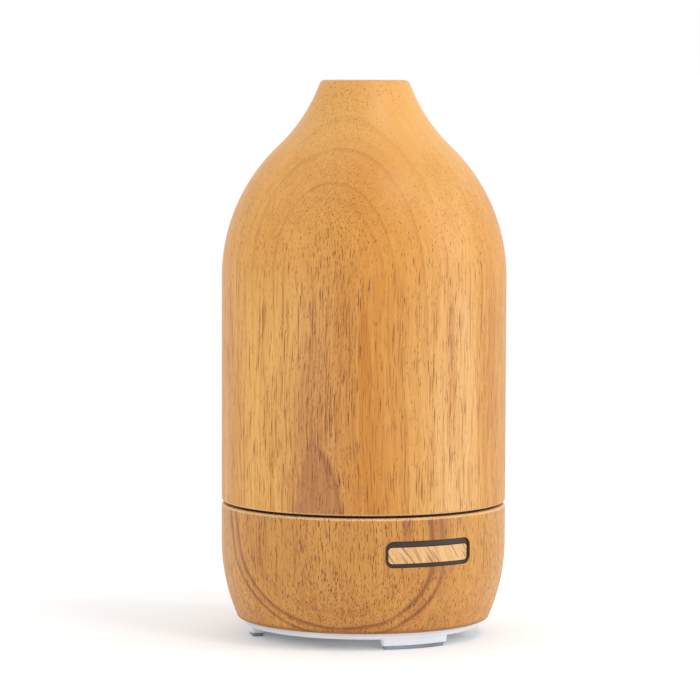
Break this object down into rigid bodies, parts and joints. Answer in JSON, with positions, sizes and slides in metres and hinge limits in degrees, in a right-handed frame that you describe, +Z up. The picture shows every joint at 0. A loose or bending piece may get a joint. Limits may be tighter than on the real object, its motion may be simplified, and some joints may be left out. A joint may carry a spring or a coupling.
{
  "type": "essential oil diffuser",
  "caption": "Ultrasonic essential oil diffuser with a turned wooden bottle-shaped cover, a wooden base with a push button and a water tank inside.",
  "frame": {"origin": "centre of the underside, on the surface that the feet stand on", "axes": "+Z up along the turned body's axis; -Y is the front, where the button is; the DC inlet is at the back, +Y"},
  "size_m": [0.092, 0.092, 0.1795],
  "materials": {
    "wood_cover": "satin",
    "wood_base": "satin",
    "wood_veneer": "satin",
    "pp_white": "matte",
    "pp_frosted": "matte",
    "plate_white": "matte",
    "dark_plastic": "satin",
    "grey_rubber": "matte",
    "dark_rubber": "matte",
    "silicone": "matte",
    "black_plastic": "gloss",
    "steel": "satin",
    "brass_nickel": "gloss",
    "bearing_bronze": "satin",
    "copper_winding": "satin",
    "aluminium": "satin",
    "board_green": "satin",
    "board_white": "satin",
    "led_lens": "gloss",
    "piezo_ceramic": "satin",
    "ferrite": "matte",
    "wire_red": "satin"
  },
  "bodies": {
    "base": {"base_ring": "wood_base", "board_screws": "steel", "bottom_cover": "plate_white", "button_bezel": "dark_plastic", "button_springs": "steel", "capacitors": "black_plastic", "connectors": "board_white", "control_chip": "black_plastic", "dc_jack": "black_plastic", "dc_jack_nut": "brass_nickel", "dc_jack_pin": "brass_nickel", "dc_leads": "wire_red", "driver_transistor": "black_plastic", "fan_bearing": "bearing_bronze", "fan_frame": "black_plastic", "fan_leads": "wire_red", "fan_screws": "steel", "fan_stator": "copper_winding", "foot_pad_front": "grey_rubber", "foot_pad_rear_left": "grey_rubber", "foot_pad_rear_right": "grey_rubber", "heat_sink": "aluminium", "housing_screws": "steel", "inductor": "ferrite", "led_board": "board_white", "leds": "led_lens", "main_board": "board_green", "piezo_disc": "piezo_ceramic", "seat_ring": "dark_rubber", "switch_board": "board_green", "switch_leads": "wire_red", "switch_screws": "steel", "tact_switch": "black_plastic", "tank_chassis": "pp_white", "transducer_clamp": "pp_white", "transducer_leads": "wire_red", "transducer_screws": "steel", "transducer_seal": "silicone"},
    "outer_cover": {"outer_cover": "wood_cover"},
    "inner_cover": {"inner_cover": "pp_frosted"},
    "button": {"button_carrier": "dark_plastic", "button_face": "wood_veneer", "switch_stem": "dark_plastic"},
    "fan_rotor": {"fan_impeller": "black_plastic", "fan_magnet": "ferrite", "fan_shaft": "steel"}
  },
  "joints": [
    {"name": "cover_lift", "type": "slide", "parent": "base", "child": "outer_cover", "axis": [0, 0, 1], "range_m": [0, 0.2]},
    {"name": "inner_cover_lift", "type": "slide", "parent": "base", "child": "inner_cover", "axis": [0, 0, 1], "range_m": [0, 0.06]},
    {"name": "button_press", "type": "slide", "parent": "base", "child": "button", "axis": [0, 1, 0], "range_m": [0, 0.0005], "stiffness_N_per_m": 1500, "springref_m": -0.0003, "deforming": ["button_springs"]},
    {"name": "fan_spin", "type": "hinge", "parent": "base", "child": "fan_rotor", "pos_m": [-0.017, 0, 0.011], "axis": [0, 0, 1], "continuous": true}
  ],
  "couplings": [
    {"joint": "inner_cover_lift", "follows": "cover_lift", "ratio": 0.3}
  ]
}
